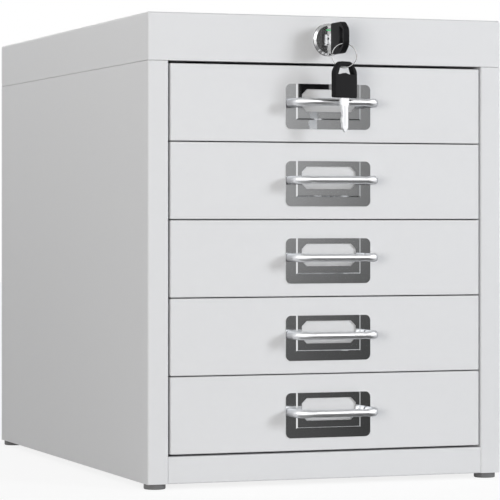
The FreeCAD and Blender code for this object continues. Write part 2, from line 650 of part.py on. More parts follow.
turned = FreeCAD.Rotation(FreeCAD.Vector(0, 0, -1), FreeCAD.Vector(1, 0, 0), FreeCAD.Vector(0, -1, 0), "XYZ")
for piece in key_pieces("key"):
    piece.Placement = FreeCAD.Placement(FreeCAD.Vector(), turned)
    place(piece, y=SHOULDER_Y, z=LOCK_Z)
    pieces.append(piece)
ring_low = f"({RING_Z} - ring_radius)"
for piece in key_pieces("spare"):
    piece.Placement = FreeCAD.Placement(FreeCAD.Vector(), FreeCAD.Rotation(FreeCAD.Vector(0, 0, 1), 0))
    place(piece, y=RING_Y, z=f"{ring_low} + ring_wire_radius + spare_hang_gap - {hole_top}")
    piece.Placement.Rotation.Axis = FreeCAD.Vector(0, 0, 1)
    piece.setExpression("Placement.Rotation.Angle", bound("spare_yaw"))
    pieces.append(piece)
ring = doc.addObject("Part::Torus", "key_ring")
ring.Label = "key_ring"
ring.setExpression("Radius1", bound("ring_radius"))
ring.setExpression("Radius2", bound("ring_wire_radius"))
flat = FreeCAD.Rotation(FreeCAD.Vector(1, 0, 0), 90)
yaw = FreeCAD.Rotation(FreeCAD.Vector(0, 0, 1), sheet.get("ring_yaw"))
ring.Placement = FreeCAD.Placement(FreeCAD.Vector(), yaw.multiply(flat))
place(ring, y=RING_Y, z=RING_Z)
pieces.append(ring)


# Drawers. Each is built with the middle of its front's lower edge at zero, then moved to its row
def drawer(number):
    """Drawer 1 is the highest."""
    row_z = f"({LOWEST} + {COUNT - number} * {PITCH})"
    tag = "_%d" % number
    half = f"{FRONT_WIDTH} / 2"
    made = []

    front = new_body("drawer_front" + tag)
    prism(front, "front_face" + tag, "Y", "0", "sheet_metal", rect(f"-{half}", half, "0", FRONT_HEIGHT))
    prism(
        front, "front_returns" + tag, "Y", "0", "front_pan_depth",
        rect(f"-{half}", half, "0", FRONT_HEIGHT),
        rect(f"-({half} - sheet_metal)", f"{half} - sheet_metal",
             "sheet_metal", f"{FRONT_HEIGHT} - sheet_metal"),
    )
    round_edges(
        front, "front_rounds" + tag, "front_edge_round",
        lambda e, m, w: near(m.y, 0) or (
            abs(w.y) > 0.9 and near(abs(m.x), value(half))
            and (near(m.z, 0) or near(m.z, value(FRONT_HEIGHT)))
        ),
    )
    prism(
        front, "front_lips" + tag, "Y", "front_pan_depth - sheet_metal", "sheet_metal",
        rect(f"-({half} - sheet_metal / 2)", f"{half} - sheet_metal / 2", "sheet_metal / 2",
             f"{FRONT_HEIGHT} - sheet_metal / 2"),
        rect(f"-({half} - front_lip)", f"{half} - front_lip", "front_lip", f"{FRONT_HEIGHT} - front_lip"),
    )
    cut(
        front, "front_stud_holes" + tag, "Y", "-overrun", "sheet_metal + overrun",
        *[("circle", f"{s}handle_span / 2", HANDLE_Z, "handle_stud_radius") for s in ("-", "")],
    )
    made.append(front)

    tray = new_body("drawer_tray" + tag)
    prism(
        tray, "tray_block" + tag, "Z", "tray_lift", TRAY_HEIGHT,
        rect(f"-{TRAY_WIDTH} / 2", f"{TRAY_WIDTH} / 2", "front_pan_depth", TRAY_REAR),
    )
    round_edges(
        tray, "tray_bends" + tag, "bend_radius",
        lambda e, m, w: abs(w.y) > 0.9 and near(m.z, value("tray_lift")),
    )
    cut(
        tray, "tray_inside" + tag, "Z", "tray_lift + tray_sheet", f"{TRAY_HEIGHT} + overrun",
        rect(f"-({TRAY_WIDTH} / 2 - tray_sheet)", f"{TRAY_WIDTH} / 2 - tray_sheet",
             "front_pan_depth + tray_sheet", f"{TRAY_REAR} - tray_sheet"),
    )
    for word, s in (("left", "-"), ("right", "")):
        edge = f"{s}({TRAY_WIDTH} / 2 + tray_flange)"
        prism(
            tray, "tray_flange_" + word + tag, "Z", f"{TRAY_TOP} - tray_sheet", "tray_sheet",
            rect(f"{s}({TRAY_WIDTH} / 2 - tray_sheet / 2)", edge,
                 "front_pan_depth + stile_return", TRAY_REAR),
        )
        prism(
            tray, "tray_stop_" + word + tag, "Z", f"{TRAY_TOP} - tray_sheet", "tray_sheet + tray_stop_height",
            rect(f"{s}({TRAY_WIDTH} / 2 + runner_side_clearance)", edge,
                 f"{TRAY_REAR} - tray_stop_length", TRAY_REAR),
        )
    made.append(tray)

    # The lock bar holds the drawer by this hook, spot welded to the rear wall of the tray
    catch = new_body("drawer_catch" + tag)
    hook_rear = f"({BAR_FRONT} - catch_bar_gap - {FACE_Y})"
    prism(
        catch, "catch_fold" + tag, "X", "bar_left", "bar_width",
        [
            (TRAY_REAR, "catch_height - catch_thickness"), (TRAY_REAR, "catch_height + catch_tab"),
            (f"{TRAY_REAR} + catch_thickness", "catch_height + catch_tab"),
            (f"{TRAY_REAR} + catch_thickness", "catch_height"), (hook_rear, "catch_height"),
            (hook_rear, "catch_height - catch_hook"),
            (f"{hook_rear} - catch_thickness", "catch_height - catch_hook"),
            (f"{hook_rear} - catch_thickness", "catch_height - catch_thickness"),
        ],
    )
    made.append(catch)

    plate = new_body("label_plate" + tag)
    low, high = f"({PLATE_Z} - plate_height / 2)", f"({PLATE_Z} + plate_height / 2)"
    prism(
        plate, "plate_sheet_metal" + tag, "Y", "-plate_sheet", "plate_sheet",
        rect(f"-{PLATE_WIDTH} / 2", f"{PLATE_WIDTH} / 2", low, high),
    )
    round_edges(plate, "plate_corners" + tag, "plate_corner", lambda e, m, w: abs(w.y) > 0.9)
    pocket_half, pocket_low = f"{POCKET_WIDTH} / 2", f"({low} + pocket_floor)"
    prism(
        plate, "pocket_emboss" + tag, "Y", "-(plate_sheet + pocket_rise)", "plate_sheet + pocket_rise",
        rect(f"-{pocket_half}", pocket_half, pocket_low, high),
    )
    pocket_face, plate_top = value("-(plate_sheet + pocket_rise)"), value(high)
    round_edges(
        plate, "pocket_slopes" + tag, "pocket_slope",
        lambda e, m, w: near(m.y, pocket_face) and not near(m.z, plate_top), "Chamfer",
    )
    cut(
        plate, "pocket_back" + tag, "Y", "-pocket_rise", "pocket_rise + overrun",
        rect(f"-({pocket_half} - plate_sheet)", f"{pocket_half} - plate_sheet", f"{pocket_low} + plate_sheet",
             f"{high} + overrun"),
    )
    middle = f"({PLATE_Z} + window_raise)"
    wx, wz, wc = f"{WINDOW_WIDTH} / 2", "window_height / 2", "window_corner"
    cut(
        plate, "card_window" + tag, "Y", "-(plate_sheet + pocket_rise + overrun)",
        "plate_sheet + pocket_rise + 2 * overrun",
        [
            (f"-({wx} - {wc})", f"{middle} - {wz}"), (f"{wx} - {wc}", f"{middle} - {wz}"),
            (wx, f"{middle} - {wz} + {wc}"), (wx, f"{middle} + {wz} - {wc}"),
            (f"{wx} - {wc}", f"{middle} + {wz}"), (f"-({wx} - {wc})", f"{middle} + {wz}"),
            (f"-{wx}", f"{middle} + {wz} - {wc}"), (f"-{wx}", f"{middle} - {wz} + {wc}"),
        ],
    )
    cut(
        plate, "plate_stud_holes" + tag, "Y", "-(plate_sheet + overrun)", "plate_sheet + 2 * overrun",
        *[("circle", f"{s}handle_span / 2", HANDLE_Z, "handle_stud_radius") for s in ("-", "")],
    )
    made.append(plate)

    card = new_body("label_card" + tag)
    prism(
        card, "card_sheet" + tag, "Y", "-card_thickness", "card_thickness",
        rect(f"-({pocket_half} - plate_sheet - card_gap)", f"{pocket_half} - plate_sheet - card_gap",
             f"{pocket_low} + plate_sheet + card_gap", f"{high} - card_gap"),
    )
    made.append(card)

    # Wire pull: a bar, two quarter bends and two legs that end in studs
    solids = []

    def turned_part(kind, label, rotation, x, y, sizes):
        part = doc.addObject(kind, label + tag)
        for key, text in sizes.items():
            part.setExpression(key, bound(text))
        part.Placement = FreeCAD.Placement(FreeCAD.Vector(), rotation)
        place(part, x, y, HANDLE_Z)
        solids.append(part)

    back_way = FreeCAD.Rotation(FreeCAD.Vector(1, 0, 0), -90)
    right_way = FreeCAD.Rotation(FreeCAD.Vector(0, 1, 0), 90)
    turned_part(
        "Part::Cylinder", "pull_bar", right_way, "-(handle_span / 2 - handle_bend)", "-handle_reach",
        {"Radius": "handle_wire_radius", "Height": "handle_span - 2 * handle_bend"},
    )
    for word, s, start in (("left", "-", 180), ("right", "", 270)):
        turned_part(
            "Part::Torus", "pull_bend_" + word, FreeCAD.Rotation(FreeCAD.Vector(0, 0, 1), start),
            f"{s}(handle_span / 2 - handle_bend)", "-(handle_reach - handle_bend)",
            {"Radius1": "handle_bend", "Radius2": "handle_wire_radius", "Angle3": "90 * 1"},
        )
        turned_part(
            "Part::Cylinder", "pull_leg_" + word, back_way,
            f"{s}handle_span / 2", "-(handle_reach - handle_bend)",
            {"Radius": "handle_wire_radius", "Height": "handle_reach - handle_bend - plate_sheet"},
        )
        turned_part(
            "Part::Cylinder", "pull_stud_" + word, back_way,
            f"{s}handle_span / 2", "-(handle_reach - handle_bend)",
            {"Radius": "handle_stud_radius",
             "Height": "handle_reach - handle_bend - plate_sheet + handle_stud_length"},
        )
    handle = doc.addObject("Part::MultiFuse", "handle" + tag)
    handle.Label = "handle" + tag
    handle.Shapes = solids
    handle.Refine = True
    made.append(handle)

    nuts = new_body("handle_nuts" + tag)
    loops = []
    for s in ("-", ""):
        loops.append(hexagon(f"{s}handle_span / 2", HANDLE_Z, "nut_radius"))
        loops.append(("circle", f"{s}handle_span / 2", HANDLE_Z, "handle_stud_radius"))
    prism(nuts, "nut_pair" + tag, "Y", "sheet_metal", "nut_height", *loops)
    made.append(nuts)

    for piece in made:
        place(piece, y=FACE_Y, z=row_z)
    pieces.extend(made)


for number in range(1, COUNT + 1):
    drawer(number)
doc.removeObject("Probe")
doc.recompute()

# Every object has to be sound before anything is written
for item in doc.Objects:
    if "Invalid" in item.State or "Error" in item.State:
        raise RuntimeError("%s is %s" % (item.Name, item.State))
os.makedirs("parts", exist_ok=True)
for piece in pieces:
    if piece.Shape.isNull() or not piece.Shape.isValid() or not piece.Shape.Solids:
        raise RuntimeError(piece.Label + " has no sound shape")
for piece in pieces:
    piece.Shape.exportStep("parts/%s.step" % piece.Label)
    box = piece.Shape.BoundBox
    print(
        "%-20s %2d solids %9.1f mm3  x %.1f %.1f  y %.1f %.1f  z %.1f %.1f"
        % (piece.Label, len(piece.Shape.Solids), piece.Shape.Volume, box.XMin, box.XMax, box.YMin,
           box.YMax, box.ZMin, box.ZMax)
    )
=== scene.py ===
# Grey sheet-steel drawer cabinet with chrome pulls and a key lock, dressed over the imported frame.
import json
import math

import bmesh
import bpy
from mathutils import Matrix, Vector


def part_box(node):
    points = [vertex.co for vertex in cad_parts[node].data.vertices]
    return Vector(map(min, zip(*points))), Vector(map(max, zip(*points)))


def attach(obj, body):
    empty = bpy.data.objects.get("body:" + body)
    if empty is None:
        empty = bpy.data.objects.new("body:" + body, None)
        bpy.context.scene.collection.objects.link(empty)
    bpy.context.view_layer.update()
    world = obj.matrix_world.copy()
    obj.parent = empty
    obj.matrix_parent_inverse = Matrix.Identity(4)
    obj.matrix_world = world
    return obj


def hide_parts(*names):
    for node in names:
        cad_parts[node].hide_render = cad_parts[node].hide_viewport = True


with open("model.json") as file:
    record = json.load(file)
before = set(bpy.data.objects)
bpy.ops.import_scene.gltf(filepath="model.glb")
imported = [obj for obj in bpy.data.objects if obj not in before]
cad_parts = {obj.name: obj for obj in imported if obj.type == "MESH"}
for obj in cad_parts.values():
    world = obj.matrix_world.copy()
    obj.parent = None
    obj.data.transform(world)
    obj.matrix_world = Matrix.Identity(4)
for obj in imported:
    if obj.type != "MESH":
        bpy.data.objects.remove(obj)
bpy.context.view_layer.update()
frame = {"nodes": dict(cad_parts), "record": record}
nodes = frame["nodes"]
print("frame loaded:", len(nodes), "nodes")

# camera and frame of the picture
cameraView = {
    "place": (-0.7210, -2.0195, 0.1970),
    "yawDegrees": -19.85,
    "lensMm": 191.2,
    "shiftX": -0.0009,
    "shiftY": -0.0647,
    "sensorMm": 36,
    "nearest": 0.01,
    "farthest": 50,
}


def placeCamera(view):
    cameraData = bpy.data.cameras.new("studioCamera")
    cameraData.lens = view["lensMm"]
    cameraData.sensor_width = view["sensorMm"]
    cameraData.shift_x = view["shiftX"]
    cameraData.shift_y = view["shiftY"]
    cameraData.clip_start = view["nearest"]
    cameraData.clip_end = view["farthest"]
    camera = bpy.data.objects.new("studioCamera", cameraData)
    camera.location = view["place"]
    camera.rotation_euler = (math.radians(90), 0, math.radians(view["yawDegrees"]))
    bpy.context.scene.collection.objects.link(camera)
    bpy.context.scene.camera = camera


placeCamera(cameraView)
bpy.context.scene.view_settings.view_transform = "Standard"
print("camera placed")


# node helpers
def addNode(tree, kind, place=(0, 0), **settings):
    node = tree.nodes.new(kind)
    node.location = place
    for key, value in settings.items():
        setattr(node, key, value)
    return node


def feed(tree, target, source):
    if hasattr(source, "is_output"):
        tree.links.new(source, target)
    else:
        target.default_value = source


def makeGroup(name, inputs, outputs):
    group = bpy.data.node_groups.new(name, "ShaderNodeTree")
    for label, kind, value in inputs:
        socket = group.interface.new_socket(name=label, in_out="INPUT", socket_type=kind)
        socket.default_value = value
    for label, kind in outputs:
        group.interface.new_socket(name=label, in_out="OUTPUT", socket_type=kind)
    inside = addNode(group, "NodeGroupInput", (-900, 0))
    outside = addNode(group, "NodeGroupOutput", (700, 0))
    return group, inside, outside


def mathNode(tree, operation, place, *values):
    node = addNode(tree, "ShaderNodeMath", place, operation=operation)
    for socket, source in zip(node.inputs, values):
        feed(tree, socket, source)
    return node.outputs[0]


def placeGroup(tree, group, place=(-500, 0), **values):
    node = addNode(tree, "ShaderNodeGroup", place)
    node.node_tree = group
    for label, value in values.items():
        node.inputs[label].default_value = value
    return node


# Fine pebbled skin of powder coat, moulded plastic and rubber
grainPattern = {"fineDetail": 2, "broadScale": 14, "broadDetail": 3, "noiseMiddle": 0.5}


def buildGrain():
    group, inside, outside = makeGroup(
        "surfaceGrain",
        [("Size", "NodeSocketFloat", 0.0006), ("Unevenness", "NodeSocketFloat", 0.5)],
        [("Height", "NodeSocketFloat"), ("Mottle", "NodeSocketFloat")],
    )
    coords = addNode(group, "ShaderNodeTexCoord", (-900, -200))
    scale = mathNode(group, "DIVIDE", (-700, 0), 1.0, inside.outputs["Size"])
    fine = addNode(group, "ShaderNodeTexNoise", (-450, 100))
    group.links.new(coords.outputs["Object"], fine.inputs["Vector"])
    group.links.new(scale, fine.inputs["Scale"])
    fine.inputs["Detail"].default_value = grainPattern["fineDetail"]
    broad = addNode(group, "ShaderNodeTexNoise", (-450, -200))
    group.links.new(coords.outputs["Object"], broad.inputs["Vector"])
    broad.inputs["Scale"].default_value = grainPattern["broadScale"]
    broad.inputs["Detail"].default_value = grainPattern["broadDetail"]
    centred = mathNode(
        group, "SUBTRACT", (-250, -200), broad.outputs["Fac"], grainPattern["noiseMiddle"]
    )
    mottle = mathNode(group, "MULTIPLY", (0, -200), centred, inside.outputs["Unevenness"])
    group.links.new(fine.outputs["Fac"], outside.inputs["Height"])
    group.links.new(mottle, outside.inputs["Mottle"])
    return group


# Rubbed arrises: bright or dark where the surface turns sharply
wearPattern = {"breakupScale": 180, "breakupDetail": 4, "flatLevel": 0.5, "gain": 8.0}


def buildWear():
    group, inside, outside = makeGroup(
        "edgeWear",
        [("Reach", "NodeSocketFloat", 0.5), ("Amount", "NodeSocketFloat", 0.3)],
        [("Mask", "NodeSocketFloat")],
    )
    geometry = addNode(group, "ShaderNodeNewGeometry", (-900, -200))
    coords = addNode(group, "ShaderNodeTexCoord", (-900, -400))
    breakup = addNode(group, "ShaderNodeTexNoise", (-650, -350))
    breakup.inputs["Scale"].default_value = wearPattern["breakupScale"]
    breakup.inputs["Detail"].default_value = wearPattern["breakupDetail"]
    group.links.new(coords.outputs["Object"], breakup.inputs["Vector"])
    lifted = mathNode(
        group, "SUBTRACT", (-650, -100), geometry.outputs["Pointiness"], wearPattern["flatLevel"]
    )
    sharpness = mathNode(group, "MULTIPLY", (-450, -100), lifted, wearPattern["gain"])
    shown = mathNode(group, "MULTIPLY", (-250, -100), sharpness, inside.outputs["Reach"])
    broken = mathNode(group, "MULTIPLY", (-50, -150), shown, breakup.outputs["Fac"])
    amount = addNode(group, "ShaderNodeMath", (150, -100), operation="MULTIPLY", use_clamp=True)
    group.links.new(broken, amount.inputs[0])
    group.links.new(inside.outputs["Amount"], amount.inputs[1])
    group.links.new(amount.outputs[0], outside.inputs["Mask"])
    return group


# Hairline drawing marks and finger haze on bare metal
hazePattern = {"cloudScale": 60, "cloudDetail": 5, "hairScale": 900, "hairDetail": 2}


def buildHaze():
    group, inside, outside = makeGroup(
        "metalHaze",
        [
            ("Base", "NodeSocketFloat", 0.1),
            ("Spread", "NodeSocketFloat", 0.05),
            ("Stretch", "NodeSocketFloat", 1.0),
        ],
        [("Roughness", "NodeSocketFloat"), ("Height", "NodeSocketFloat")],
    )
    coords = addNode(group, "ShaderNodeTexCoord", (-900, -200))
    smear = addNode(group, "ShaderNodeMapping", (-700, -200))
    group.links.new(coords.outputs["Object"], smear.inputs["Vector"])
    stretch = addNode(group, "ShaderNodeCombineXYZ", (-900, 100))
    group.links.new(inside.outputs["Stretch"], stretch.inputs["X"])
    stretch.inputs["Y"].default_value = 1
    stretch.inputs["Z"].default_value = 1
    group.links.new(stretch.outputs[0], smear.inputs["Scale"])
    cloud = addNode(group, "ShaderNodeTexNoise", (-450, 0))
    cloud.inputs["Scale"].default_value = hazePattern["cloudScale"]
    cloud.inputs["Detail"].default_value = hazePattern["cloudDetail"]
    group.links.new(smear.outputs["Vector"], cloud.inputs["Vector"])
    hair = addNode(group, "ShaderNodeTexNoise", (-450, -300))
    hair.inputs["Scale"].default_value = hazePattern["hairScale"]
    hair.inputs["Detail"].default_value = hazePattern["hairDetail"]
    group.links.new(smear.outputs["Vector"], hair.inputs["Vector"])
    added = mathNode(group, "MULTIPLY", (-200, 0), cloud.outputs["Fac"], inside.outputs["Spread"])
    total = mathNode(group, "ADD", (0, 0), added, inside.outputs["Base"])
    group.links.new(total, outside.inputs["Roughness"])
    group.links.new(hair.outputs["Fac"], outside.inputs["Height"])
    return group


grainGroup = buildGrain()
wearGroup = buildWear()
hazeGroup = buildHaze()


def startMaterial(name):
    material = bpy.data.materials.new(name)
    material.use_nodes = True
    tree = material.node_tree
    shader = next(n for n in tree.nodes if n.type == "BSDF_PRINCIPLED")
    return material, tree, shader


def tintByMask(tree, base, other, mask, place=(-200, 100)):
    mix = addNode(tree, "ShaderNodeMix", place, data_type="RGBA")
    mix.inputs["A"].default_value = (*base, 1)
    mix.inputs["B"].default_value = (*other, 1)
    tree.links.new(mask, mix.inputs["Factor"])
    return mix.outputs["Result"]


def addBump(tree, shader, height, strength, depth):
    bump = addNode(tree, "ShaderNodeBump", (-200, -300))
    bump.inputs["Strength"].default_value = strength
    bump.inputs["Distance"].default_value = depth
    tree.links.new(height, bump.inputs["Height"])
    tree.links.new(bump.outputs["Normal"], shader.inputs["Normal"])


def addWear(tree, amount):
    return placeGroup(tree, wearGroup, (-900, 200), Reach=1.0, Amount=amount).outputs["Mask"]


# Powder coat: every sheet-steel piece
paintLook = {
    "colour": (0.745, 0.752, 0.765),
    "worn": (0.86, 0.865, 0.87),
    "roughness": 0.42,
    "grainMetres": 0.0007,
    "grainDepth": 0.00002,
    "grainStrength": 0.15,
    "mottle": 0.006,
    "wear": 0.1,
}

# Moulded, printed and pressed stuff has the same build with its own values
mouldedLook = {"mottle": 0.15, "wear": 0.5, "grainStrength": 0.3}
keyPlasticLook = {
    **mouldedLook, "colour": (0.008, 0.008, 0.009), "worn": (0.022, 0.022, 0.024),
    "roughness": 0.5, "grainMetres": 0.0005, "grainDepth": 0.00003, "gloss": 0.10,
}
footRubberLook = {
    **mouldedLook, "colour": (0.16, 0.16, 0.162), "worn": (0.22, 0.22, 0.22),
    "roughness": 0.6, "grainMetres": 0.0009, "grainDepth": 0.00005,
}
cardPaperLook = {
    **mouldedLook, "colour": (0.75, 0.76, 0.775), "worn": (0.7, 0.7, 0.7),
    "roughness": 0.75, "grainMetres": 0.0004, "grainDepth": 0.00003,
}
markGreenLook = {
    **mouldedLook, "colour": (0.05, 0.42, 0.14), "worn": (0.1, 0.5, 0.2),
    "roughness": 0.4, "grainMetres": 0.0004, "grainDepth": 0.00001,
}


def makeCoated(name, look):
    material, tree, shader = startMaterial(name)
    grain = placeGroup(tree, grainGroup, (-900, -200), Size=look["grainMetres"], Unevenness=look["mottle"])
    colour = tintByMask(tree, look["colour"], look["worn"], addWear(tree, look["wear"]))
    tree.links.new(colour, shader.inputs["Base Color"])
    rough = mathNode(tree, "ADD", (-400, -100), grain.outputs["Mottle"], look["roughness"])
    tree.links.new(rough, shader.inputs["Roughness"])
    if "gloss" in look:
        shader.inputs["Specular IOR Level"].default_value = look["gloss"]
    addBump(tree, shader, grain.outputs["Height"], look["grainStrength"], look["grainDepth"])
    return material


# Bare and plated metal. rubbed is how much lighter or darker the arrises are
plateLook = {
    "colour": (0.80, 0.81, 0.82), "base": 0.05, "spread": 0.05, "stretch": 1.0, "wear": 0.4,
    "rubbed": 0.8, "metallic": 1, "hairStrength": 0.05, "hairDepth": 0.00001,
}
keyNickelLook = {**plateLook, "colour": (0.76, 0.765, 0.775), "base": 0.26, "spread": 0.10}
ringSteelLook = {**plateLook, "colour": (0.34, 0.34, 0.34), "base": 0.12, "spread": 0.08}
# the pulls' and the lock's dark grazingShadeTint (grazingShadeTint) is painted shade: it darkens their
# reflections towards the grazing outline
pullLook = {
    **plateLook, "colour": (0.88, 0.885, 0.90), "grazingShadeTint": (0.30, 0.31, 0.33), "base": 0.30,
    "spread": 0.03, "rubbed": 0.92, "metallic": 0.92, "hairStrength": 0.03, "hairDepth": 0.000003,
}
lockLook = {
    **pullLook, "colour": (0.84, 0.845, 0.85), "grazingShadeTint": (0.6, 0.61, 0.62), "base": 0.08,
    "spread": 0.02,
}
zincLook = {
    **plateLook, "colour": (0.56, 0.56, 0.55), "base": 0.3, "spread": 0.15, "stretch": 0.2,
    "wear": 0.6, "rubbed": 1.3, "hairStrength": 0.1, "hairDepth": 0.00002,
}


def makeMetal(name, look):
    material, tree, shader = startMaterial(name)
    haze = placeGroup(
        tree, hazeGroup, (-900, -100), Base=look["base"], Spread=look["spread"], Stretch=look["stretch"]
    )
    rubbed = tuple(min(1, v * look["rubbed"]) for v in look["colour"])
    colour = tintByMask(tree, look["colour"], rubbed, addWear(tree, look["wear"]))
    tree.links.new(colour, shader.inputs["Base Color"])
    tree.links.new(haze.outputs["Roughness"], shader.inputs["Roughness"])
    shader.inputs["Metallic"].default_value = look["metallic"]
    # specular tint at grazing angles: painted shade that darkens the metal's reflections along its outline
    if "grazingShadeTint" in look:
        shader.inputs["Specular Tint"].default_value = (*look["grazingShadeTint"], 1)
    addBump(tree, shader, haze.outputs["Height"], look["hairStrength"], look["hairDepth"])
    return material


cabinetPaint = makeCoated("cabinetPaint", paintLook)
keyPlastic = makeCoated("keyPlastic", keyPlasticLook)
footRubber = makeCoated("footRubber", footRubberLook)
cardPaper = makeCoated("cardPaper", cardPaperLook)
markGreen = makeCoated("markGreen", markGreenLook)
plateChrome = makeMetal("plateChrome", plateLook)
zincSteel = makeMetal("zincSteel", zincLook)
pullChrome = makeMetal("pullChrome", pullLook)
lockChrome = makeMetal("lockChrome", lockLook)
keyNickel = makeMetal("keyNickel", keyNickelLook)
ringSteel = makeMetal("ringSteel", ringSteelLook)
print("materials made")

finishes = {
    "grey_paint": cabinetPaint,
    "chrome": plateChrome,
    "zinc_steel": zincSteel,
    "card": cardPaper,
    "black_plastic": keyPlastic,
    "dark_rubber": footRubber,
    "green_mark": markGreen,
}
slotOf = {part["node"]: part["material_slot"] for part in frame["record"]["subparts"]}
# the lock's plating is softer than the plates', though both have the record's chrome slot
lockFinishes = {"lock_housing": lockChrome, "lock_plug": lockChrome}
for name, node in nodes.items():
    finish = lockFinishes.get(name, finishes[slotOf[name]])
    if not node.material_slots:
        node.data.materials.append(finish)
    for slot in node.material_slots:
        slot.material = finish


# Pull handles: rod bent to a bow, swollen where it was bent and drawn in just past each bend
handleShape = {
    "rodRadius": 0.0028,
    "studRadius": 0.0015,
    "studSeat": 0.0002,
    "bendRadius": 0.010,
    "bendSteps": 14,
    "legSteps": 8,
    "swell": 0.105,
    "swellAt": 0.3,
    "swellReach": 0.0055,
    "drawIn": 0.10,
    "drawInAt": 1.05,
    "drawInReach": 0.0026,
    "roundSegments": 32,
    "studSegments": 24,
    "barSteps": 24,
}


def handleLine(shape, half, front, seat):
    # centre line from the left seat round to the right one
    bend, legSteps = shape["bendRadius"], shape["legSteps"]
    left = [Vector((-half, seat + (front + bend - seat) * i / legSteps, 0)) for i in range(legSteps)]
    for i in range(shape["bendSteps"] + 1):
        turn = math.radians(90) * i / shape["bendSteps"]
        aside, ahead = bend * (1 - math.cos(turn)), bend * (1 - math.sin(turn))
        left.append(Vector((aside - half, front + ahead, 0)))
    inner = half - bend
    bar = [
        Vector((inner * (2 * i / shape["barSteps"] - 1), front, 0)) for i in range(1, shape["barSteps"])
    ]
    right = [Vector((-point.x, point.y, 0)) for point in reversed(left)]
    return left + bar + right


def rodHeight(shape, point, half):
    # half height of the rod: the bend swells, and the bar is drawn in beside it
    fromBend = half - abs(point.x) - shape["swellAt"] * shape["bendRadius"]
    fromNeck = half - abs(point.x) - shape["drawInAt"] * shape["bendRadius"]
    swollen = shape["swell"] * math.exp(-((fromBend / shape["swellReach"]) ** 2))
    drawn = shape["drawIn"] * math.exp(-((fromNeck / shape["drawInReach"]) ** 2))
    return shape["rodRadius"] * (1 + swollen - drawn)


def addRings(builder, rings):
    loops = [[builder.verts.new(point) for point in ring] for ring in rings]
    count = len(loops[0])
    for first, second in zip(loops, loops[1:]):
        for i in range(count):
            j = (i + 1) % count
            builder.faces.new((first[i], first[j], second[j], second[i]))
    builder.faces.new(list(reversed(loops[0])))
    builder.faces.new(loops[-1])


def finishPiece(builder, name, finish, body, node, smooth=True):
    bmesh.ops.recalc_face_normals(builder, faces=builder.faces)
    mesh = bpy.data.meshes.new(name)
    builder.to_mesh(mesh)
    builder.free()
    for face in mesh.polygons:
        face.use_smooth = smooth and len(face.vertices) == 4
    mesh.materials.clear()
    mesh.materials.append(finish)
    piece = bpy.data.objects.new(name, mesh)
    bpy.context.scene.collection.objects.link(piece)
    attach(piece, body)
    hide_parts(node)


def makeHandle(shape, number):
    node = "handle_%d" % number
    low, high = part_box(node)
    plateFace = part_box("label_plate_%d" % number)[0][1]
    middle = Vector(((low[0] + high[0]) / 2, 0, (low[2] + high[2]) / 2))
    half = (high[0] - low[0]) / 2 - shape["rodRadius"]
    front = low[1] + shape["rodRadius"]
    line = handleLine(shape, half, front, plateFace + shape["studSeat"])
    rings = []
    for i, point in enumerate(line):
        along = (line[min(i + 1, len(line) - 1)] - line[max(i - 1, 0)]).normalized()
        across = Vector((-along.y, along.x, 0))
        height = rodHeight(shape, point, half)
        ring = []
        for k in range(shape["roundSegments"]):
            turn = 2 * math.pi * k / shape["roundSegments"]
            ring.append(middle + point + across * shape["rodRadius"] * math.cos(turn)
                        + Vector((0, 0, height * math.sin(turn))))
        rings.append(ring)
    builder = bmesh.new()
    addRings(builder, rings)
    for side in (-1, 1):
        stud = []
        for y in (plateFace, high[1]):
            centre = middle + Vector((side * half, y, 0))
            stud.append([
                centre + shape["studRadius"] * Vector((
                    math.cos(2 * math.pi * k / shape["studSegments"]), 0,
                    math.sin(2 * math.pi * k / shape["studSegments"]),
                )) for k in range(shape["studSegments"])
            ])
        addRings(builder, stud)
    finishPiece(builder, "pull_%d" % number, pullChrome, "drawer_%d" % number, node)


for number in range(1, 6):
    makeHandle(handleShape, number)
print("pull handles made")


# Split ring: flat wire wound twice, stepping across to its second turn
ringShape = {
    "halfWide": 0.00041,
    "halfThick": 0.00019,
    "pitch": 0.00042,
    "stepAt": 205,
    "stepSpan": 34,
    "pathSteps": 220,
    "sectionSteps": 14,
}


def makeRing(shape):
    low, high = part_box("key_ring")
    centre = Vector([(a + b) / 2 for a, b in zip(low, high)])
    halfX, halfY, outer = [(b - a) / 2 for a, b in zip(low, high)]
    # the wire's radius and the ring's turn both follow from its three half sizes
    excess = 2 * (halfX + halfY - outer)
    wire = (excess - math.sqrt(excess ** 2 - 4 * (halfX ** 2 + halfY ** 2 - outer ** 2))) / 2
    across = Vector((halfX - wire, halfY - wire, 0)).normalized()
    farthest = max((v.co - centre).dot(across) for v in nodes["key_ring"].data.vertices)
    if farthest < 0.95 * outer:
        across.y = -across.y
    offAxis = across.cross(Vector((0, 0, 1)))
    middle = outer - wire
    span = math.radians(shape["stepSpan"])
    rings = []
    for i in range(shape["pathSteps"] + 1):
        wound = span + (4 * math.pi - 2 * span) * i / shape["pathSteps"]
        crossing = min(1, max(0, (wound - 2 * math.pi + span) / (2 * span)))
        offset = shape["pitch"] * (crossing * crossing * (3 - 2 * crossing) - 0.5)
        turn = wound + math.radians(shape["stepAt"])
        outward = across * math.cos(turn) + Vector((0, 0, math.sin(turn)))
        ring = []
        for k in range(shape["sectionSteps"]):
            around = 2 * math.pi * k / shape["sectionSteps"]
            ring.append(centre + outward * (middle + shape["halfWide"] * math.cos(around))
                        + offAxis * (offset + shape["halfThick"] * math.sin(around)))
        rings.append(ring)
    builder = bmesh.new()
    addRings(builder, rings)
    finishPiece(builder, "split_ring", ringSteel, "key_ring", "key_ring")


# Key blades: the cut sheet with a channel milled along both faces
bladeShape = {
    "channelWidth": 0.0013,
    "channelDepth": 0.00042,
    "offCentre": 0.0004,
    "fromShoulder": 0.0062,
    "fromTip": 0.0042,
    "weldWithin": 0.000002,
}


def addHelper(name, builder):
    mesh = bpy.data.meshes.new(name)
    builder.to_mesh(mesh)
    builder.free()
    helper = bpy.data.objects.new(name, mesh)
    bpy.context.scene.collection.objects.link(helper)
    return helper


